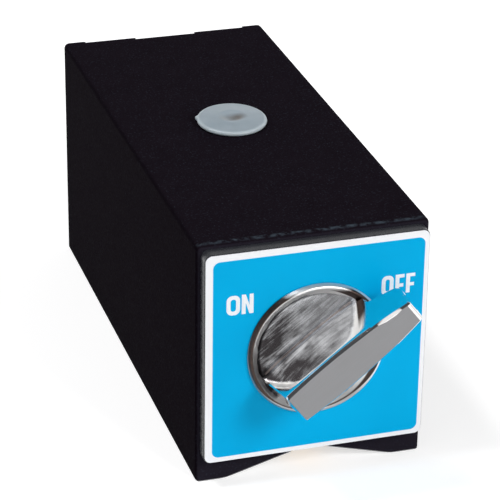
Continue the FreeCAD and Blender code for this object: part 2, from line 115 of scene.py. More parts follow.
def wrinkled_enamel():
    """Black enamel with a fine wrinkle: it stays almost black, with dim broken glints painted into its
    colour.
    The wrinkles are 0.35 mm wide. The long sides are painted blackest, as painted shade, and the front a
    shade greyer, as painted light. Along the front of the top face a grey line is a painted highlight, and
    below the sole line the iron is ground bare along Y."""
    material, tree, place = start_material("wrinkled_black_enamel")
    axes = add(tree, "SeparateXYZ", {"Vector": place}).outputs
    across = add(tree, "Math", {0: axes["X"]}, operation="ABSOLUTE")
    from_front = add(tree, "Math", {0: axes["Y"], 1: front_y}, operation="SUBTRACT")
    shaded_side = add(tree, "MapRange", {"Value": across, **SHADED_SIDE})
    lit_front = add(tree, "MapRange", {"Value": from_front, **LIT_FRONT})
    on_top = add(tree, "MapRange", {"Value": axes["Z"], **ON_TOP})

    # Painted glints: pale specks painted into the colour, fewer on the shaded sides.
    glint = add(tree, "MapRange", {"Value": grain(tree, place, SPECK, 1.0), **GLINTS})
    glint_share = add(tree, "MapRange", {"Value": shaded_side, "To Min": 0.55, "To Max": 0.22})
    glint = add(tree, "Math", {0: glint, 1: glint_share}, operation="MULTIPLY")
    # A painted highlight: a grey line 1.15 mm behind the front edge of the top, broken up by noise.
    off_line = add(tree, "Math", {0: from_front, 1: EDGE_HIGHLIGHT_LINE}, operation="SUBTRACT")
    off_line = add(tree, "Math", {0: off_line}, operation="ABSOLUTE")
    painted_edge_highlight = add(tree, "MapRange", {"Value": off_line, **EDGE_HIGHLIGHT_BAND})
    highlight_breaks = add(tree, "MapRange", {"Value": grain(tree, place, HIGHLIGHT_BREAK_SIZE, 4.0), **HIGHLIGHT_BREAKS})
    for limit in (on_top, highlight_breaks):
        painted_edge_highlight = add(tree, "Math", {0: painted_edge_highlight, 1: limit}, operation="MULTIPLY")

    cloud = grain(tree, place, CLOUDING, 3.0)
    base = add(tree, "Mix", {"Factor": cloud, "A": linear("120D13"), "B": linear("19141B")}, data_type="RGBA")
    # Painted shade on the long sides, painted light on the front, painted glints, and a painted highlight
    # line along the top's front edge.
    for mask, tone in ((shaded_side, "0B060C"), (lit_front, "221F27"), (glint, "2C2F38"), (painted_edge_highlight, "3A424B")):
        base = add(tree, "Mix", {"Factor": mask, "A": base, "B": linear(tone)}, data_type="RGBA")
    wrinkle = grain(tree, place, WRINKLE, 3.0)
    paint = add(tree, "BsdfPrincipled", {
        "Base Color": base, "IOR": 1.5, "Specular IOR Level": 0.005,
        "Roughness": add(tree, "MapRange", {"Value": wrinkle, **NOISE, "To Min": 0.62, "To Max": 0.85}),
        "Normal": add(tree, "Bump", {"Height": wrinkle, "Distance": 0.05 * MM})})

    into_groove = add(tree, "Math", {0: GROOVE_HALF, 1: across}, operation="SUBTRACT")
    roof = add(tree, "Math", {0: into_groove, 1: GROOVE_SLOPE}, operation="MULTIPLY")
    roof = add(tree, "Math", {0: roof, 1: 0.0}, operation="MAXIMUM")
    above = add(tree, "Math", {0: axes["Z"], 1: roof}, operation="SUBTRACT")
    bare = add(tree, "MapRange", {"Value": above, **BARE})
    scratches = grain(tree, place, SCRATCH, 2.0, ALONG_Y)
    iron = add(tree, "BsdfPrincipled", {
        "Base Color": add(tree, "Mix", {"Factor": scratches, "A": linear("8A8A8C"), "B": linear("B4B4B4")},
                          data_type="RGBA"),
        "Metallic": 1.0,
        "Roughness": add(tree, "MapRange", {"Value": scratches, **NOISE, "To Min": 0.24, "To Max": 0.42}),
        "Normal": add(tree, "Bump", {"Height": scratches, "Distance": 0.01 * MM})})
    add(tree, "OutputMaterial", {"Surface": add(tree, "MixShader", {0: bare, 1: paint, 2: iron})})
    return material


def finish_node(node, material):
    """Give a CAD node its finish."""
    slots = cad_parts[node].data.materials
    slots.clear()
    slots.append(material)


enamel = wrinkled_enamel()
for node in ("pole_left", "pole_right", "top_strip"):
    finish_node(node, enamel)


# The lower brass strip between the poles. It shows only as a yellow line along the groove, ground flush with
# the iron by the same wheel, so its scratches run the same way.
def ground_brass():
    """Leaded brass, ground along Y with a 0.25 mm spacing of scratches: warm, with long soft glints."""
    material, tree, place = start_material("ground_brass")
    scratches = grain(tree, place, SCRATCH, 2.0, ALONG_Y)
    brass_yellow = add(tree, "Mix", {"Factor": scratches, "A": linear("B08A48"), "B": linear("D2AC62")},
                       data_type="RGBA")
    add(tree, "OutputMaterial", {"Surface": add(tree, "BsdfPrincipled", {
        "Base Color": brass_yellow, "Metallic": 1.0,
        "Roughness": add(tree, "MapRange", {"Value": scratches, **NOISE, "To Min": 0.26, "To Max": 0.44}),
        "Normal": add(tree, "Bump", {"Height": scratches, "Distance": 0.01 * MM})})})
    return material


finish_node("low_strip", ground_brass())


# The front plate: a steel plate with rounded edges, blackened and lacquered, which the label is stuck on. It
# closes the front of the bore, and four countersunk screws under the label hold it to the poles.
ORANGE_PEEL = 1.2


def smooth_lacquer():
    """Dark grey lacquer on steel: a smooth dark skin with soft wide highlights and a little orange peel."""
    material, tree, place = start_material("dark_grey_lacquer")
    peel = grain(tree, place, ORANGE_PEEL)
    dark_grey = add(tree, "Mix", {"Factor": peel, "A": linear("26272B"), "B": linear("303237")},
                    data_type="RGBA")
    add(tree, "OutputMaterial", {"Surface": add(tree, "BsdfPrincipled", {
        "Base Color": dark_grey, "IOR": 1.5,
        "Roughness": add(tree, "MapRange", {"Value": peel, **NOISE, "To Min": 0.22, "To Max": 0.32}),
        "Normal": add(tree, "Bump", {"Height": peel, "Distance": 0.01 * MM})})})
    return material


lacquer = smooth_lacquer()
finish_node("front_plate", lacquer)


# The label: a printed sheet stuck on the front plate, blue with a white border, under a clear gloss film. The
# words ON and OFF are printed in white at the two ends of the knob's turn.
label_low, label_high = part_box("label")
FIELD_WIDTH = 45.35 * MM
FIELD_CORNER = 1.5 * MM
FIELD_MIDDLE = {"X": 0.3 * MM, "Z": (label_high.z + label_low.z) / 2 - 0.2 * MM}
FIELD_BLUR = 0.03 * MM
INK_TONE = 14.0
FILM_RIPPLE = 2.5


def printed_label():
    """Gloss-laminated print. The blue field is where the rounded-rectangle distance is below nothing: the
    length of the part of (|x|, |z|) that is past the inner rectangle, less the corner radius."""
    material, tree, place = start_material("laminated_print")
    axes = add(tree, "SeparateXYZ", {"Vector": place}).outputs
    past = []
    for axis, middle in FIELD_MIDDLE.items():
        away = add(tree, "Math", {0: axes[axis], 1: middle}, operation="SUBTRACT")
        away = add(tree, "Math", {0: away}, operation="ABSOLUTE")
        beyond = add(tree, "Math", {0: away, 1: FIELD_WIDTH / 2 - FIELD_CORNER}, operation="SUBTRACT")
        past.append(add(tree, "Math", {0: beyond, 1: 0.0}, operation="MAXIMUM"))
    reach = add(tree, "VectorMath", {0: add(tree, "CombineXYZ", {"X": past[0], "Y": past[1]})},
                operation="LENGTH")
    distance = add(tree, "Math", {0: reach, 1: FIELD_CORNER}, operation="SUBTRACT")
    in_field = add(tree, "MapRange", {"Value": distance, "From Min": FIELD_BLUR, "From Max": -FIELD_BLUR})
    tone = grain(tree, place, INK_TONE)
    blue = add(tree, "Mix", {"Factor": tone, "A": linear("00A6DE"), "B": linear("00B0E6")}, data_type="RGBA")
    print_colour = add(tree, "Mix", {"Factor": in_field, "A": linear("F4F5F8"), "B": blue}, data_type="RGBA")
    ripple = grain(tree, place, FILM_RIPPLE, 1.0)
    add(tree, "OutputMaterial", {"Surface": add(tree, "BsdfPrincipled", {
        "Base Color": print_colour, "Roughness": 0.3, "IOR": 1.5, "Specular IOR Level": 0.05,
        "Normal": add(tree, "Bump", {"Height": ripple, "Distance": 0.004 * MM})})})
    return material


finish_node("label", printed_label())

DOUBLES_WITHIN = 1e-7
SLIVERS_WITHIN = 1e-8


def put_mesh(name, points, faces, materials, body, replaced=(), sharp=30):
    """Make a piece of points and faces: doubles are merged, the faces are smooth between sharp edges, and it
    rides on a body."""
    mesh = bpy.data.meshes.new(name)
    mesh.from_pydata(np.asarray(points).reshape(-1, 3), [], faces)
    work = bmesh.new()
    work.from_mesh(mesh)
    bmesh.ops.remove_doubles(work, verts=work.verts, dist=DOUBLES_WITHIN)
    bmesh.ops.dissolve_degenerate(work, edges=work.edges, dist=SLIVERS_WITHIN)
    bmesh.ops.recalc_face_normals(work, faces=work.faces)
    work.to_mesh(mesh)
    work.free()
    mesh.polygons.foreach_set("use_smooth", np.ones(len(mesh.polygons), bool))
    mesh.set_sharp_from_angle(angle=math.radians(sharp))
    for material in materials:
        mesh.materials.append(material)
    piece = bpy.data.objects.new(name, mesh)
    bpy.context.scene.collection.objects.link(piece)
    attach(piece, body)
    if replaced:
        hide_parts(*replaced)
    return piece


def rounded_box(width, height, corner, count=96):
    """A rounded rectangle about the origin, where rays at even angles meet it: on a side the ray stops at the
    side, and past the corner's centre it stops on the corner's circle."""
    angle = np.linspace(0, 2 * np.pi, count, endpoint=False) + np.pi / count
    way = np.stack([np.cos(angle), np.sin(angle)], 1)
    half = np.array([width / 2, height / 2])
    reach = np.min(half / np.maximum(np.abs(way), 1e-9), axis=1)
    centre = half - corner
    in_corner = np.all(np.abs(way) * reach[:, None] > centre, axis=1)
    along = np.abs(way) @ centre
    round_reach = along + np.sqrt(np.maximum(along ** 2 - centre @ centre + corner ** 2, 0))
    return way * np.where(in_corner, round_reach, reach)[:, None]


INK = 0.03
LETTER_HEIGHT = 4.4
STROKE = 0.85
LETTER_LOW = 40.15
SLANT_FOOT = 0.56
ARM_MIDDLE = 0.52
ROUND_OUTSIDE = 0.42
ROUND_INSIDE = 0.45


def letter_o(left, width):
    """The letter O as a ring: an outer and an inner rounded rectangle, both at even angles."""
    middle = np.array([left + width / 2, LETTER_LOW + LETTER_HEIGHT / 2])
    hole = width - 2 * STROKE
    outer = rounded_box(width, LETTER_HEIGHT, width * ROUND_OUTSIDE) + middle
    inner = rounded_box(hole, LETTER_HEIGHT - 2 * STROKE, hole * ROUND_INSIDE) + middle
    return outer, inner


def letter_n(left, width):
    """The letter N: two upright strokes and a slanted one."""
    top = LETTER_HEIGHT
    outline = np.array([(0, 0), (STROKE, 0), (STROKE, top * SLANT_FOOT), (width - STROKE, 0), (width, 0),
                        (width, top), (width - STROKE, top), (width - STROKE, top * (1 - SLANT_FOOT)),
                        (STROKE, top), (0, top)])
    return outline + [left, LETTER_LOW]


def letter_f(left, width):
    """The letter F: an upright stroke and two level ones."""
    top = LETTER_HEIGHT
    arm = STROKE * 0.9
    middle = top * ARM_MIDDLE
    short = width * 0.9
    outline = np.array([(0, 0), (STROKE, 0), (STROKE, middle - arm), (short, middle - arm), (short, middle),
                        (STROKE, middle), (STROKE, top - arm), (width, top - arm), (width, top), (0, top)])
    return outline + [left, LETTER_LOW]


def print_word(name, rings, solids, ink):
    """Lay a word's letters on the label as a film of ink: each outline is carried forward by the ink's
    thickness and joined to itself by a wall."""
    front = label_low.y - INK * MM
    points, faces = [], []

    def loop(outline, y):
        start = sum(len(p) for p in points)
        points.append(np.stack([outline[:, 0] * MM, np.full(len(outline), y), outline[:, 1] * MM], 1))
        return np.arange(start, start + len(outline))

    for outer, inner in rings:
        rows = [loop(outer, label_low.y), loop(outer, front), loop(inner, front), loop(inner, label_low.y)]
        for one, other in zip(rows, rows[1:] + rows[:1]):
            faces += np.stack([one, np.roll(one, -1), np.roll(other, -1), other], 1).tolist()
    for outline in solids:
        back, face = loop(outline, label_low.y), loop(outline, front)
        faces += [face.tolist(), back[::-1].tolist()]
        faces += np.stack([back, np.roll(back, -1), np.roll(face, -1), face], 1).tolist()
    return put_mesh(name, np.concatenate(points), faces, [ink], "base")


def white_ink():
    """Screen-printed white ink: flat, chalky, a little uneven where it lies on the blue."""
    material, tree, place = start_material("white_ink")
    chalk = grain(tree, place, 0.6)
    white = add(tree, "Mix", {"Factor": chalk, "A": linear("E6EBF2"), "B": linear("F8FAFC")},
                data_type="RGBA")
    add(tree, "OutputMaterial", {"Surface": add(tree, "BsdfPrincipled", {
        "Base Color": white, "Roughness": 0.45, "Specular IOR Level": 0.1})})
    return material


ink = white_ink()
print_word("word_on", [letter_o(-19.5, 2.85)], [letter_n(-16.3, 2.5)], ink)
print_word("word_off", [letter_o(13.75, 2.6)], [letter_f(16.75, 1.95), letter_f(19.1, 1.95)], ink)


# The knob: a zinc casting, polished and chromium plated, with a dish, a rolled rim and a blade across it that
# ends in a wing. The dish's floor keeps the casting's mottle, and the blade's crown is satin finished.
KNOB_TURN = math.radians(37.8)
RADIUS = 15.1
BODY = 13.7
BACK = 0.5
UNDER = 3.15
FLOOR = 3.1
CREST = 14.33
CREST_CORNER = 4.42
FLOOR_RADIUS = 12.8
DISH_ROUNDINGS = [0.2, 0.04, 0.10, 0.5, 1.6]
FILLET = 0.4
CROWN = 16.0


def knob_place(s, n, t):
    """Turn a place on the knob, along the blade, across it and up from the plate, into the frame in metres:
    the blade's way is turned up from +X by the knob's turn, and up is -Y."""
    c, d = math.cos(KNOB_TURN), math.sin(KNOB_TURN)
    return np.stack([s * c - n * d, front_y / MM - t, axis_z / MM + s * d + n * c], -1) * MM


def grid_faces(rows, columns, wrap):
    """The squares of a grid of points, row by row, joined round where wrap says so."""
    index = np.arange(rows * columns).reshape(rows, columns)
    if wrap:
        index = np.concatenate([index, index[:, :1]], 1)
    squares = np.stack([index[:-1, :-1], index[:-1, 1:], index[1:, 1:], index[1:, :-1]], -1)
    return squares.reshape(-1, 4)


def straight(start, end, count):
    """Points on a straight line, without its end."""
    steps = np.linspace(0, 1, count, endpoint=False)[:, None]
    return np.array(start) * (1 - steps) + np.array(end) * steps


def from_axis(tree, centred, x_mm=0.0, z_mm=0.0):
    """How far a place is from an axis along Y through (x, z): the length of the place less its Y."""
    moved = add(tree, "VectorMath", {0: centred, 1: (x_mm * MM, 0, z_mm * MM)}, operation="SUBTRACT")
    flat = add(tree, "VectorMath", {0: moved, 1: (1, 0, 1)}, operation="MULTIPLY")
    return add(tree, "VectorMath", {0: flat}, operation="LENGTH")


RING_OFF_MIDDLE = (-0.32, 0.38)
RING_INSIDE = {"From Min": 13.68 * MM, "From Max": 13.88 * MM}
RING_OUTSIDE = {"From Min": 14.68 * MM, "From Max": 14.56 * MM}
RING_TOP = {"From Min": 13.7 * MM, "From Max": 12.7 * MM}
RING_BY_WING = {"From Min": 8.5 * MM, "From Max": 11.5 * MM, "To Max": 0.9 * MM}
RING_NARROWER = 0.3 * MM


def painted_dark_ring_mask(tree, below, off_middle, level, along, at_bottom):
    """The dark ring on the rim's crest, painted dark reflection and shade: a ring a little off the knob's
    middle, open at the top, wider beside the wing and narrower at the bottom."""
    wider = add(tree, "MapRange", {"Value": along, **RING_BY_WING})
    narrower = add(tree, "Math", {0: at_bottom, 1: RING_NARROWER}, operation="MULTIPLY")
    inner = add(tree, "Math", {0: off_middle, 1: wider}, operation="ADD")
    inner = add(tree, "Math", {0: inner, 1: narrower}, operation="SUBTRACT")
    outer = add(tree, "Math", {0: off_middle, 1: narrower}, operation="ADD")
    painted_dark_ring = below
    for value, fade in ((inner, RING_INSIDE), (outer, RING_OUTSIDE), (level, RING_TOP)):
        limit = add(tree, "MapRange", {"Value": value, **fade})
        painted_dark_ring = add(tree, "Math", {0: painted_dark_ring, 1: limit}, operation="MULTIPLY")
    return painted_dark_ring


UNDER_CREST = {"From Min": (CREST_CORNER + 0.1) * MM, "From Max": CREST_CORNER * MM}
AT_BOTTOM = {"From Min": -7.0 * MM, "From Max": -11.5 * MM}
BESIDE_TAIL = {"From Min": -9.0 * MM, "From Max": -11.0 * MM}
FLOOR_EDGE = {"From Min": 12.9 * MM, "From Max": 12.6 * MM}
FLOOR_WANDER = {**NOISE, "To Min": -0.35 * MM, "To Max": 0.35 * MM}
FLOOR_BY_TAIL = {"From Min": -9.0 * MM, "From Max": -6.0 * MM, "To Min": -0.3 * MM, "To Max": 0.0}
FLAT_FLOOR = {"From Min": 12.3 * MM, "From Max": 11.8 * MM}
SEAM_FOOT = {"From Min": (FLOOR + 0.02) * MM, "From Max": (FLOOR + 0.06) * MM}
SEAM_TOP = {"From Min": (FLOOR + FILLET) * MM, "From Max": (FLOOR + FILLET - 0.1) * MM}
SEAM_END = {"From Min": 12.1 * MM, "From Max": 11.9 * MM}
MOTTLE = {"From Min": 0.33, "From Max": 0.67}
DARKER_TO_TAIL = {"From Min": -6.0 * MM, "From Max": 5.0 * MM, "To Min": -0.50, "To Max": 0.30}
LIGHTER_BY_BLADE = {"From Min": 5.0 * MM, "From Max": 8.5 * MM, "To Min": 0.36, "To Max": -0.06}
LIGHTER_BY_BLADE_ALONG = {"From Min": 3.0 * MM, "From Max": -4.0 * MM}
LIGHTER_BY_BLADE_AWAY = {"From Min": 12.0 * MM, "From Max": 11.0 * MM}


def plated_casting():
    """Chromium over a polished casting. The blade and the rim's bevel are bright. The dish's floor is cloudy,
    with streaks along the blade from the mop, darker towards its tail and lighter beside the blade there. A
    dark brown ring on the rim's crest is painted dark reflection and shade. The bevel is painted greyer
    beside the tail and at the bottom, as painted shade. A pale dotted line in the fillet at the blade's foot
    is a painted highlight."""
    material, tree, place = start_material("plated_casting")
    centred = add(tree, "VectorMath", {0: place, 1: (0, 0, axis_z)}, operation="SUBTRACT")
    level = add(tree, "SeparateXYZ", {"Vector": centred}).outputs["Z"]
    turned = add(tree, "Mapping", {"Vector": centred, "Rotation": (0, KNOB_TURN, 0)})
    axes = add(tree, "SeparateXYZ", {"Vector": turned}).outputs
    along = axes["X"]
    away = from_axis(tree, centred)
    up = add(tree, "Math", {0: front_y, 1: axes["Y"]}, operation="SUBTRACT")
    below = add(tree, "MapRange", {"Value": up, **UNDER_CREST})
    at_bottom = add(tree, "MapRange", {"Value": level, **AT_BOTTOM})
    # A dark brown ring of painted dark reflection and shade on the rim's crest.
    painted_dark_ring = painted_dark_ring_mask(tree, below, from_axis(tree, centred, *RING_OFF_MIDDLE), level, along, at_bottom)

    wander = add(tree, "MapRange", {"Value": grain(tree, place, 4.0), **FLOOR_WANDER})
    tail_shift = add(tree, "MapRange", {"Value": along, **FLOOR_BY_TAIL})
    edge = add(tree, "Math", {0: away, 1: wander}, operation="ADD")
    edge = add(tree, "Math", {0: edge, 1: tail_shift}, operation="ADD")
    inside = add(tree, "MapRange", {"Value": edge, **FLOOR_EDGE})
    on_floor = add(tree, "Math", {0: below, 1: inside}, operation="MULTIPLY")
    on_bevel = add(tree, "Math", {0: below, 1: on_floor}, operation="SUBTRACT")
    # Painted shade: the bevel is painted greyer beside the tail and at the bottom.
    beside_tail = add(tree, "MapRange", {"Value": along, **BESIDE_TAIL})
    tail_bevel = add(tree, "Math", {0: on_bevel, 1: beside_tail}, operation="MULTIPLY")
    bottom_bevel = add(tree, "Math", {0: below, 1: at_bottom}, operation="MULTIPLY")
    painted_bevel_shade = add(tree, "Math", {0: tail_bevel, 1: bottom_bevel}, operation="MAXIMUM")

    # A painted highlight: a pale dotted line painted in the fillet at the blade's foot.
    seam = add(tree, "MapRange", {"Value": up, **SEAM_FOOT})
    for value, fade in ((up, SEAM_TOP), (away, SEAM_END)):
        limit = add(tree, "MapRange", {"Value": value, **fade})
        seam = add(tree, "Math", {0: seam, 1: limit}, operation="MULTIPLY")

    cloud = grain(tree, turned, 2.0, 5.0, (1.6, 1, 1))
    streak = grain(tree, turned, 0.45, 4.0, (12, 1, 1))
    half_cloud = add(tree, "Math", {0: cloud, 1: 0.5}, operation="MULTIPLY")
    streaked = add(tree, "Math", {0: streak, 1: 0.5, 2: half_cloud}, operation="MULTIPLY_ADD")
    # The floor is made darker towards the tail and lighter beside the blade on the tail side.
    darker_to_tail = add(tree, "MapRange", {"Value": along, **DARKER_TO_TAIL})
    from_blade = add(tree, "Math", {0: axes["Z"]}, operation="ABSOLUTE")
    lighter_by_blade = add(tree, "MapRange", {"Value": from_blade, **LIGHTER_BY_BLADE})
    for value, fade in ((along, LIGHTER_BY_BLADE_ALONG), (away, LIGHTER_BY_BLADE_AWAY)):
        limit = add(tree, "MapRange", {"Value": value, **fade})
        lighter_by_blade = add(tree, "Math", {0: lighter_by_blade, 1: limit}, operation="MULTIPLY")
    amount = add(tree, "MapRange", {"Value": streaked, **MOTTLE})
    for part in (darker_to_tail, lighter_by_blade):
        amount = add(tree, "Math", {0: amount, 1: part}, operation="ADD")

    haze = grain(tree, place, 0.8, 3.0)
    fillet_speckle = grain(tree, place, 0.5)
    tones = {}
    for name, mask, low, high in (
            ("bright", haze, "E8E7E6", "F4F3F2"), ("brown", haze, "2E2828", "5A4C46"),
            ("mottle", amount, "4E4B4D", "F0F2F6"), ("painted_fillet_light", fillet_speckle, "A8928A", "F0E4DE")):
        tones[name] = add(tree, "Mix", {"Factor": mask, "A": linear(low), "B": linear(high)},
                          data_type="RGBA")
    colour = tones["bright"]
    for mask, tone in ((painted_bevel_shade, linear("A8A8A8")), (painted_dark_ring, tones["brown"]), (on_floor, tones["mottle"]),
                       (seam, tones["painted_fillet_light"])):
        colour = add(tree, "Mix", {"Factor": mask, "A": colour, "B": tone}, data_type="RGBA")
    rough = add(tree, "MapRange", {"Value": haze, **NOISE, "To Min": 0.05, "To Max": 0.10})
    for mask, rougher in ((seam, 0.35), (on_bevel, 0.34), (on_floor, 0.14)):
        rough = add(tree, "Math", {0: mask, 1: rougher, 2: rough}, operation="MULTIPLY_ADD")
    on_flat = add(tree, "MapRange", {"Value": away, **FLAT_FLOOR})
    on_flat = add(tree, "Math", {0: below, 1: on_flat}, operation="MULTIPLY")
    height = add(tree, "Math", {0: streaked, 1: on_flat}, operation="MULTIPLY")
    add(tree, "OutputMaterial", {"Surface": add(tree, "BsdfPrincipled", {
        "Base Color": colour, "Metallic": 1.0, "Roughness": rough,
        "Normal": add(tree, "Bump", {"Height": height, "Distance": 0.03 * MM})})})
    return material


def satin_chrome():
    """The blade's crown, linished flat on a belt before plating: a soft even grey with hair lines along."""
    material, tree, place = start_material("satin_chromium")
    turned = add(tree, "Mapping", {"Vector": place, "Rotation": (0, KNOB_TURN, 0)})
    cloud = add(tree, "Math", {0: grain(tree, turned, 5.0), 1: 0.4}, operation="MULTIPLY")
    hair = add(tree, "Math", {0: grain(tree, turned, 0.15, 2.0, (40, 1, 1)), 1: 0.6, 2: cloud},
               operation="MULTIPLY_ADD")
    grey = add(tree, "Mix", {"Factor": hair, "A": linear("838384"), "B": linear("8D8D8F")}, data_type="RGBA")
    add(tree, "OutputMaterial", {"Surface": add(tree, "BsdfPrincipled", {
        "Base Color": grey, "Metallic": 1.0, "Roughness": 0.38,
        "Normal": add(tree, "Bump", {"Height": hair, "Distance": 0.004 * MM})})})
    return material


def rounded_chain(corners, radii, per_arc=9, per_side=60):
    """A path of straight runs with tangent arcs at its inner corners. Each arc starts and ends at its radius
    times the tangent of half the turn from the corner, and turns evenly between its two ends."""
    corners = np.asarray(corners, float)
    pieces = [corners[:1]]
    for before, corner, after, radius in zip(corners, corners[1:], corners[2:], radii):
        u = (before - corner) / np.linalg.norm(before - corner)
        v = (after - corner) / np.linalg.norm(after - corner)
        half_turn = (np.pi - math.acos(float(np.clip(u @ v, -1, 1)))) / 2
        back = radius * math.tan(half_turn)
        bisector = (u + v) / np.linalg.norm(u + v)
        centre = corner + bisector * radius / math.cos(half_turn)
        first = corner + u * back - centre
        last = corner + v * back - centre
        swing = math.atan2(first[0] * last[1] - first[1] * last[0], first @ last)
        angle = np.linspace(0, swing, per_arc)[:, None]
        side = np.array([-first[1], first[0]])
        pieces += [straight(pieces[-1][-1], centre + first, per_side)[1:],
                   centre + first * np.cos(angle) + side * np.sin(angle)]
    pieces += [straight(pieces[-1][-1], corners[-1], per_side)[1:], corners[-1:]]
    return np.concatenate(pieces)


def dish_profile():
    """The dish's half section as radius and height: back, body in the plate's window, the rim over the label
    with its slanted outside, round crest and inner bevel, and the floor."""
    corners = [(0, BACK), (BODY, BACK), (BODY, UNDER), (RADIUS, UNDER), (CREST, CREST_CORNER),
               (FLOOR_RADIUS, FLOOR), (0, FLOOR)]
    return rounded_chain(corners, DISH_ROUNDINGS, 9, 9)


def resample(path, keys, marks, count):
    """Spread points along a path, so that the path's points nearest to keys fall at marks of the way."""
    gone = np.r_[0, np.cumsum(np.linalg.norm(np.diff(path, axis=0), axis=1))]
    places = [gone[np.argmin(np.linalg.norm(path - key, axis=1))] for key in keys]
    wanted = np.interp(np.linspace(0, 1, count), marks, places)
    return np.stack([np.interp(wanted, gone, path[:, i]) for i in (0, 1)], 1)


def outward(path, side):
    """The unit normals of a path, on its left for side 1 and on its right for side -1."""
    way = np.gradient(path, axis=0)
    way /= np.linalg.norm(way, axis=1)[:, None]
    return side * np.stack([-way[:, 1], way[:, 0]], 1)


TAIL_FOOT = (-12.8, 2.9)
TAIL_TOP = (-10.4, CROWN)
TIP_TOP = (20.95, CROWN)
TIP_FOOT = (21.25, 7.95)
NECK_TOP = (14.2, 6.55)
NECK_FOOT = (14.2, 3.5)
NECK_ROOT = (12.6, 2.9)
OVER_ROUNDINGS = [0.1, 0.75]
UNDER_ROUNDINGS = [0.2, 0.1, 0.1, 1.1, 1.7]
TAIL_MARK = 0.16
NECK_MARKS = (0.68, 0.72)
TIP_MARK = 0.86
CHAIN_POINTS = 150
HALF_WIDTH = 4.3
FOOT_INSET = 0.5
SIDE_RADIUS = 125.0
WIDEST = 0.5
EDGE = 0.4
POLISH_IN = 0.16
POLISH_FROM = 14.4
POLISH_END = 14.0
POLISH_FADE = 5.0
KNOCK_PLACE = 16.0
KNOCK_LENGTH = 2.4
KNOCK_WIDTH = 0.42
FOOT_SHARE = 0.05
DISH_TURNS = 288


def half_width(s, t):
    """The blade's half width: a long arc about its widest place, drawn in evenly towards the foot, drawn in
    by the square of the way up near the crown, where the mop rounds it over the dish, and flared by the
    quarter circle of the fillet where it meets the dish's floor."""
    bow = SIDE_RADIUS - np.sqrt(SIDE_RADIUS ** 2 - (s - WIDEST) ** 2)
    low = np.clip(FLOOR + FILLET - t, 0, FILLET)
    flare = FILLET - np.sqrt(FILLET ** 2 - low ** 2)
    worn = POLISH_IN * np.clip((t - POLISH_FROM) / (CROWN - EDGE - POLISH_FROM), 0, 1) ** 2
    worn = worn * np.clip((POLISH_END - s) / POLISH_FADE, 0, 1)
    return HALF_WIDTH - bow - FOOT_INSET * (CROWN - t) / (CROWN - TAIL_FOOT[1]) + flare - worn


def edge_across(s, half):
    """How far the edge's chamfer reaches over the crown. On the upper side it widens, by a bump that is flat
    in the middle, where knocks have worn it."""
    knock = KNOCK_WIDTH * np.exp(-((s - KNOCK_PLACE) / KNOCK_LENGTH) ** 4) if half > 0 else 0.0
    return EDGE + knock


def blade_surface(half):
    """Half of the blade as rows of points. Two chains of points run from the middle of the tail to the middle
    of the tip, one under and one over. Going across the blade, a row is the closed pair of chains: on the
    crown at full size, drawn in over the edge's flat chamfer, and then on the side as straight runs from the
    lower chain to the upper one."""
    tail = (np.array(TAIL_FOOT) + TAIL_TOP) / 2
    end = (np.array(TIP_FOOT) + TIP_TOP) / 2
    over = rounded_chain([tail, TAIL_TOP, TIP_TOP, end], OVER_ROUNDINGS)
    under = rounded_chain([tail, TAIL_FOOT, NECK_ROOT, NECK_FOOT, NECK_TOP, TIP_FOOT, end], UNDER_ROUNDINGS)
    over = resample(over, [tail, TAIL_TOP, TIP_TOP, end], [0, TAIL_MARK, TIP_MARK, 1], CHAIN_POINTS)
    under = resample(under, [tail, TAIL_FOOT, NECK_FOOT, NECK_TOP, TIP_FOOT, end],
                     [0, TAIL_MARK, *NECK_MARKS, TIP_MARK, 1], CHAIN_POINTS)
    over_out, under_out = outward(over, 1), outward(under, -1)
    crown_rows = []
    for inset, fraction in [(0.0, f) for f in np.linspace(0, 1, 6)] + [(EDGE, 1.0)]:
        pair = [chain - way * inset for chain, way in ((under, under_out), (over, over_out))]
        ring = np.concatenate([pair[0], pair[1][-2:0:-1]])
        across = edge_across(ring[:, 0], half) if inset == 0 else 0.0
        n = (half_width(ring[:, 0], ring[:, 1]) - across) * fraction
        crown_rows.append(np.column_stack([ring[:, 0], n, ring[:, 1]]))
    low = under - under_out * EDGE
    high = over - over_out * EDGE
    share = np.r_[np.linspace(0, FOOT_SHARE, 12), np.linspace(FOOT_SHARE, 1, 24)[1:]][:, None, None]
    flat = low * (1 - share) + high * share
    out = half_width(flat[..., 0], flat[..., 1])
    return np.array(crown_rows), np.stack([flat[..., 0], out, flat[..., 1]], -1)


def make_knob():
    """The whole casting: the dish turned about the knob's axis, and the blade's two halves."""
    profile = dish_profile()
    angle = np.linspace(0, 2 * np.pi, DISH_TURNS, endpoint=False)
    r, t = profile[:, :1], np.repeat(profile[:, 1:], DISH_TURNS, 1)
    points = [knob_place(r * np.cos(angle), r * np.sin(angle), t).reshape(-1, 3)]
    faces = grid_faces(len(profile), DISH_TURNS, True).tolist()
    for half in (1, -1):
        ring, side = blade_surface(half)
        for rows, wrap in ((ring, True), (side, False)):
            start = sum(len(p) for p in points)
            placed = rows * [1, half, 1]
            points.append(knob_place(placed[..., 0], placed[..., 1], placed[..., 2]).reshape(-1, 3))
            faces += (grid_faces(rows.shape[0], rows.shape[1], wrap) + start).tolist()
    return np.concatenate(points), faces


def finish_crown(casting):
    """Give the second finish to the faces of the crown and of the chamfer at the tail's top edge."""
    middles = np.zeros(len(casting.data.polygons) * 3)
    casting.data.polygons.foreach_get("center", middles)
    x, y, z = middles.reshape(-1, 3).T
    up = (front_y - y) / MM
    along = (x * math.cos(KNOB_TURN) + (z - axis_z) * math.sin(KNOB_TURN)) / MM
    on_crown = up > CROWN - 0.01
    on_tail_edge = (up > CROWN - EDGE) & (along < TAIL_TOP[0] + 0.1)
    casting.data.polygons.foreach_set("material_index", (on_crown | on_tail_edge).astype(int))


knob_points, knob_faces = make_knob()
finish_crown(put_mesh("knob_casting", knob_points, knob_faces, [plated_casting(), satin_chrome()], "rotor",
                      ["knob"], 40))


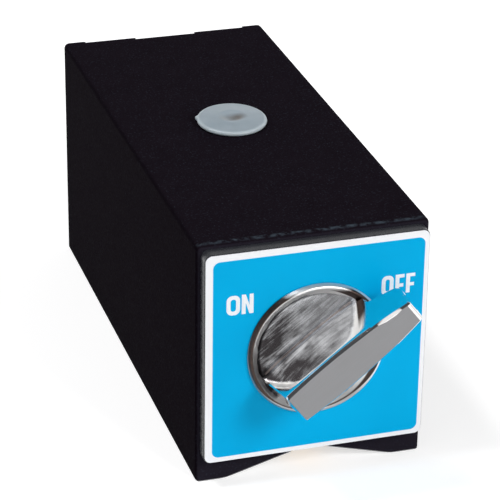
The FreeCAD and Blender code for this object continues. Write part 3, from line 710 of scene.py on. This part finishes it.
# The push-in plug: moulded in natural polyethylene, with a crowned flange, a small dimple and a nub on its
# rim where the mould's gate was. Its stem sits in the mouth of the rod hole, a little cocked, as a thumb
# left it.
plug_low, plug_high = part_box("rod_plug")
plug_centre = (plug_low + plug_high) / 2
PLUG_RADIUS = 7.9
PLUG_COCK = math.radians(2.6)
STEM_RADIUS = 6.0
STEM_WALL = 1.2
STEM_DEPTH = 1.5
RIM_ROUND = 0.5
RIM_DROP = 0.45
DIMPLE_RADIUS = 3.2
DIMPLE_DEPTH = 0.75
GATE = math.radians(160)
NUB = 0.5
NUB_REACH = 0.35
NUB_SPREAD = 0.07
PLUG_TURNS = 160
DIMPLE_SHADE_MIDDLE = (0, -0.5 * MM, 0)
DIMPLE_SHADE_OVAL = (1, 1.6, 0)
DIMPLE_SHADE_FADE = {"From Min": 3.6 * MM, "From Max": 1.7 * MM}
DIMPLE_SHADE_RIGHT = {"From Min": -1.2 * MM, "From Max": 1.2 * MM, "To Min": 0.4, "To Max": 0.95}
PALE_RIM = {"From Min": (PLUG_RADIUS - 0.8) * MM, "From Max": (PLUG_RADIUS - 0.3) * MM, "To Max": 0.5}


def natural_plastic():
    """Natural polyethylene: milky and soft, lit a little from inside, with a waxy skin. An oval of painted
    shade lies on the dimple's floor, darkest on the right, and the flange's rim is paler."""
    material, tree, place = start_material("natural_polyethylene")
    centred = add(tree, "VectorMath", {0: place, 1: plug_centre}, operation="SUBTRACT")
    flat = add(tree, "VectorMath", {0: centred, 1: (1, 1, 0)}, operation="MULTIPLY")
    away = add(tree, "VectorMath", {0: flat}, operation="LENGTH")
    on_rim = add(tree, "MapRange", {"Value": away, **PALE_RIM})
    moved = add(tree, "VectorMath", {0: flat, 1: DIMPLE_SHADE_MIDDLE}, operation="SUBTRACT")
    oval = add(tree, "VectorMath", {0: moved, 1: DIMPLE_SHADE_OVAL}, operation="MULTIPLY")
    from_dimple_shade = add(tree, "VectorMath", {0: oval}, operation="LENGTH")
    painted_dimple_shade = add(tree, "MapRange", {"Value": from_dimple_shade, **DIMPLE_SHADE_FADE})
    to_right = add(tree, "SeparateXYZ", {"Vector": centred}).outputs["X"]
    rightward = add(tree, "MapRange", {"Value": to_right, **DIMPLE_SHADE_RIGHT})
    painted_dimple_shade = add(tree, "Math", {0: painted_dimple_shade, 1: rightward}, operation="MULTIPLY")
    cloud = grain(tree, place, 3.0)
    milky = add(tree, "Mix", {"Factor": cloud, "A": linear("8D9AA3"), "B": linear("9EAAB2")},
                data_type="RGBA")
    # The dark oval in the dimple is painted shade.
    for mask, tone in ((on_rim, "C6D0D4"), (painted_dimple_shade, "6A6663")):
        milky = add(tree, "Mix", {"Factor": mask, "A": milky, "B": linear(tone)}, data_type="RGBA")
    waxy = grain(tree, place, 1.0)
    add(tree, "OutputMaterial", {"Surface": add(tree, "BsdfPrincipled", {
        "Base Color": milky, "Roughness": 0.36, "IOR": 1.5, "Subsurface Weight": 0.35,
        "Subsurface Radius": (0.9, 1.0, 1.1), "Subsurface Scale": 1.5 * MM,
        "Normal": add(tree, "Bump", {"Height": waxy, "Distance": 0.01 * MM})})})
    return material


def arc(centre, radius, start, end, count):
    """Points on an arc, in degrees from the first axis."""
    angle = np.radians(np.linspace(start, end, count))
    return np.stack([centre[0] + radius * np.cos(angle), centre[1] + radius * np.sin(angle)], 1)


def make_plug():
    """The plug's half section as radius and height, turned about Z. The dimple is half a wave of the cosine,
    and the rim bulges by the nub where the angle is close to the gate's. The whole is then tipped forward
    about the lowest point of the flange's front."""
    top = (plug_high.z - block_top) / MM
    bore = STEM_RADIUS - STEM_WALL
    dimple_r = np.linspace(DIMPLE_RADIUS, 0, 25)
    dimple_z = top - DIMPLE_DEPTH * (1 + np.cos(np.pi * dimple_r / DIMPLE_RADIUS)) / 2
    profile = np.concatenate([
        straight((0, 0), (bore, 0), 3), straight((bore, 0), (bore, -STEM_DEPTH), 4),
        straight((bore, -STEM_DEPTH), (STEM_RADIUS, -STEM_DEPTH), 2),
        straight((STEM_RADIUS, -STEM_DEPTH), (STEM_RADIUS, 0), 4),
        straight((STEM_RADIUS, 0), (PLUG_RADIUS - 0.2, 0), 4),
        arc((PLUG_RADIUS - RIM_ROUND, RIM_ROUND), RIM_ROUND, -60, 75, 12),
        straight((PLUG_RADIUS - 0.6, top - RIM_DROP), (DIMPLE_RADIUS, top), 14),
        np.stack([dimple_r, dimple_z], 1)])
    angle = np.linspace(0, 2 * np.pi, PLUG_TURNS, endpoint=False)
    nub = NUB * np.exp(-((angle - GATE) / NUB_SPREAD) ** 2) * (profile[:, :1] > PLUG_RADIUS - 0.45)
    r = profile[:, :1] - 0.05 * (profile[:, :1] > PLUG_RADIUS - 0.3)
    r = np.minimum(r + nub, PLUG_RADIUS + NUB_REACH)
    z = np.repeat(profile[:, 1:], PLUG_TURNS, 1)
    back = r * np.sin(angle) + PLUG_RADIUS
    tipped_y = back * math.cos(PLUG_COCK) - z * math.sin(PLUG_COCK) - PLUG_RADIUS
    tipped_z = back * math.sin(PLUG_COCK) + z * math.cos(PLUG_COCK)
    points = np.stack([plug_centre.x / MM + r * np.cos(angle), plug_centre.y / MM + tipped_y,
                       block_top / MM + tipped_z], -1) * MM
    return points, grid_faces(len(profile), PLUG_TURNS, True).tolist()


plug_points, plug_faces = make_plug()
put_mesh("push_in_plug", plug_points, plug_faces, [natural_plastic()], "plug", ["rod_plug"],
         45)


# The rear plate and the screws: pressed steel in the same lacquer as the front, sunk between the lugs, with
# blackened socket screws.
def blackened_steel():
    """Oxidised screw steel: dark, oily and slightly brown, with a fine uneven bloom on the head."""
    material, tree, place = start_material("blackened_steel")
    bloom = grain(tree, place, 0.5, 3.0)
    oxide = add(tree, "Mix", {"Factor": bloom, "A": linear("35332F"), "B": linear("55524E")},
                data_type="RGBA")
    add(tree, "OutputMaterial", {"Surface": add(tree, "BsdfPrincipled", {
        "Base Color": oxide, "Metallic": 1.0,
        "Roughness": add(tree, "MapRange", {"Value": bloom, **NOISE, "To Min": 0.28, "To Max": 0.45})})})
    return material


finish_node("rear_plate", lacquer)
screw_steel = blackened_steel()
for node in ("front_plate_screws", "rear_plate_screws", "rotor_front_screws", "rotor_rear_screws"):
    finish_node(node, screw_steel)


# The turned parts inside: the bronze bearings at both ends of the bore, the rotor's brass caps and fillers,
# its iron shoes, and the steel shaft and pins. All are turned in a lathe or ground, and left bright.
TURNING = 0.2 * MM


def turned_metal(name, low, high):
    """A copper alloy or steel turned about the knob's axis: fine rings 0.2 mm apart catch the light."""
    material, tree, place = start_material(name)
    centred = add(tree, "VectorMath", {0: place, 1: (0, 0, axis_z)}, operation="SUBTRACT")
    deep = add(tree, "SeparateXYZ", {"Vector": centred}).outputs["Y"]
    feed = add(tree, "Math", {0: from_axis(tree, centred), 1: deep}, operation="ADD")
    phase = add(tree, "Math", {0: feed, 1: 2 * math.pi / TURNING}, operation="MULTIPLY")
    wave = add(tree, "Math", {0: phase}, operation="SINE")
    rings = add(tree, "MapRange", {"Value": wave, "From Min": -1.0, "From Max": 1.0})
    stain = grain(tree, place, 4.0, 3.0)
    metal = add(tree, "Mix", {"Factor": stain, "A": linear(low), "B": linear(high)}, data_type="RGBA")
    add(tree, "OutputMaterial", {"Surface": add(tree, "BsdfPrincipled", {
        "Base Color": metal, "Metallic": 1.0,
        "Roughness": add(tree, "MapRange", {"Value": stain, **NOISE, "To Min": 0.22, "To Max": 0.38}),
        "Normal": add(tree, "Bump", {"Height": rings, "Distance": 0.004 * MM})})})
    return material


bronze = turned_metal("turned_bronze", "9A6B3C", "C08A50")
brass = turned_metal("turned_brass", "B08D4A", "D8B468")
steel = turned_metal("turned_steel", "7C7C7E", "A6A6A8")
for node in ("front_bearing", "rear_bearing"):
    finish_node(node, bronze)
for node in ("rotor_front_cap", "rotor_rear_cap", "rotor_fillers"):
    finish_node(node, brass)
for node in ("knob_shaft", "cross_pin", "stop_pin", "rotor_shoe_upper", "rotor_shoe_lower"):
    finish_node(node, steel)


# The dull parts inside: flat magnets of sintered ferrite between the shoes, a seal of nitrile rubber on the
# knob's shaft, and a thrust washer of natural nylon behind the knob.
def grainy(name, low, high, grain_mm, rough, depth_mm):
    """A dull material with one grain size: sintered, moulded or cut from sheet."""
    material, tree, place = start_material(name)
    fleck = grain(tree, place, grain_mm, 3.0)
    tone = add(tree, "Mix", {"Factor": fleck, "A": linear(low), "B": linear(high)}, data_type="RGBA")
    add(tree, "OutputMaterial", {"Surface": add(tree, "BsdfPrincipled", {
        "Base Color": tone, "Roughness": rough,
        "Normal": add(tree, "Bump", {"Height": fleck, "Distance": depth_mm * MM})})})
    return material


finish_node("rotor_magnets", grainy("sintered_ferrite", "242426", "38383B", 0.4, 0.6, 0.03))
finish_node("shaft_seal", grainy("nitrile_rubber", "141414", "1E1E1E", 0.6, 0.55, 0.01))
finish_node("thrust_washer", grainy("natural_nylon", "D2CEC2", "E0DCD2", 1.0, 0.4, 0.01))


# The studio: a white floor, a dim room above it, soft lamps in front and on the left, and the camera where
# the photograph's was.
FLOOR_HALF = 3.0
FLOOR_LIFT = 0.52


def white_floor():
    """A white sweep: matt, and lifted for the camera so that it is white where no shadow falls."""
    material, tree, _ = start_material("white_floor")
    path = add(tree, "LightPath").outputs
    seen = add(tree, "Math", {0: path["Is Camera Ray"], 1: path["Is Glossy Ray"]}, operation="MAXIMUM")
    seen = add(tree, "Math", {0: seen, 1: path["Is Transmission Ray"]}, operation="MAXIMUM")
    strength = add(tree, "Math", {0: seen, 1: FLOOR_LIFT}, operation="MULTIPLY")
    matt = add(tree, "BsdfDiffuse", {"Color": linear("E9E9E9")})
    lift = add(tree, "Emission", {"Strength": strength})
    add(tree, "OutputMaterial", {"Surface": add(tree, "AddShader", {0: matt, 1: lift})})
    return material


floor_mesh = bpy.data.meshes.new("floor")
floor_mesh.from_pydata([(-FLOOR_HALF, -FLOOR_HALF, 0), (FLOOR_HALF, -FLOOR_HALF, 0),
                        (FLOOR_HALF, FLOOR_HALF, 0), (-FLOOR_HALF, FLOOR_HALF, 0)], [], [(0, 1, 2, 3)])
floor_mesh.materials.append(white_floor())
floor = bpy.data.objects.new("floor", floor_mesh)
bpy.context.scene.collection.objects.link(floor)

world = bpy.data.worlds.new("room")
bpy.context.scene.world = world
world.use_nodes = True
room = world.node_tree
room.nodes.clear()
way = add(room, "TexCoord").outputs["Generated"]
rise = add(room, "SeparateXYZ", {"Vector": way}).outputs["Z"]
dimness = add(room, "MapRange", {"Value": rise, "From Min": 0.25, "From Max": 0.60})
shade = add(room, "Mix", {"Factor": dimness, "A": [1.0, 1.0, 1.0, 1.0], "B": [0.07, 0.07, 0.075, 1.0]},
            data_type="RGBA")
add(room, "OutputWorld", {"Surface": add(room, "Background", {"Color": shade, "Strength": 1.0})})

LAMP_TARGET = Vector((0, 0, 0.03))


def soft_lamp(name, place, size, power):
    """A square soft lamp that faces the middle of the block."""
    lamp = bpy.data.lights.new(name, "AREA")
    lamp.size = size
    lamp.energy = power
    stand = bpy.data.objects.new(name, lamp)
    facing_block = (LAMP_TARGET - Vector(place)).to_track_quat("-Z", "Y").to_matrix().to_4x4()
    stand.matrix_world = Matrix.Translation(place) @ facing_block
    bpy.context.scene.collection.objects.link(stand)


soft_lamp("front_lamp", (0.6, -1.1, 0.9), 0.5, 11)
soft_lamp("top_lamp", (-0.55, 0.1, 1.3), 0.35, 9)

# The view of the photograph, from the fit of its edges: the camera's place in millimetres from the middle of
# the block's front lower edge, its turn to the right, its look down and its tilt in degrees, and its focal
# length in pixels.
VIEW_PLACE = (-142.01, -406.53, 262.17)
VIEW_TURN = 17.508
VIEW_DOWN = 26.151
VIEW_TILT = 0.834
FOCAL_PIXELS = 2357.63
PICTURE_PIXELS = 500

camera_data = bpy.data.cameras.new("camera")
camera_data.sensor_fit = "AUTO"
camera_data.sensor_width = 36.0
camera_data.lens = FOCAL_PIXELS * camera_data.sensor_width / PICTURE_PIXELS
camera_data.clip_start = 0.01
camera = bpy.data.objects.new("camera", camera_data)
turn, down, tilt = (math.radians(angle) for angle in (VIEW_TURN, VIEW_DOWN, VIEW_TILT))
forward = Vector((math.sin(turn) * math.cos(down), math.cos(turn) * math.cos(down), -math.sin(down)))
right = forward.cross(Vector((0, 0, 1))).normalized()
upright = right.cross(forward)
right_tilted = right * math.cos(tilt) + upright * math.sin(tilt)
up_tilted = upright * math.cos(tilt) - right * math.sin(tilt)
facing = Matrix((right_tilted, up_tilted, -forward)).transposed().to_4x4()
camera.matrix_world = Matrix.Translation(Vector(VIEW_PLACE) * MM + Vector((0, front_y, 0))) @ facing
bpy.context.scene.collection.objects.link(camera)
bpy.context.scene.camera = camera
bpy.context.scene.view_settings.view_transform = "Standard"
